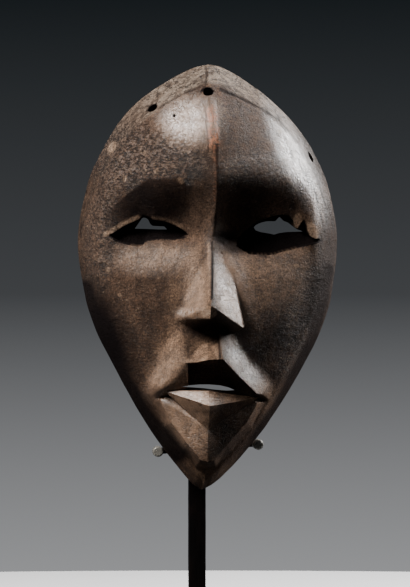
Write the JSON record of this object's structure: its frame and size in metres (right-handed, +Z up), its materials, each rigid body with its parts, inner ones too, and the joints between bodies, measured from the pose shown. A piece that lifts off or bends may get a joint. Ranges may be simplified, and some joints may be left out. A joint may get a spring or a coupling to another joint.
{
  "type": "carved wooden face mask on a stand",
  "caption": "Hollow carved wooden face mask with slit eyes and faceted nose and mouth, held upright by a slim metal stand.",
  "frame": {"origin": "middle of the block's underside", "axes": "+Z up; the mask faces -Y; +X is to the right of someone who looks at the face"},
  "size_m": [0.144, 0.097, 0.326],
  "materials": {
    "dark_wood": "worn dark patina",
    "dark_metal": "dark brown patina",
    "clear_sleeve": "clear, milky",
    "black_block": "black satin lacquer"
  },
  "bodies": {
    "root": {"mask": "dark_wood", "bar_and_cradle": "dark_metal", "sleeve_left": "clear_sleeve", "sleeve_right": "clear_sleeve", "sleeve_top": "clear_sleeve", "block": "black_block"}
  },
  "joints": []
}
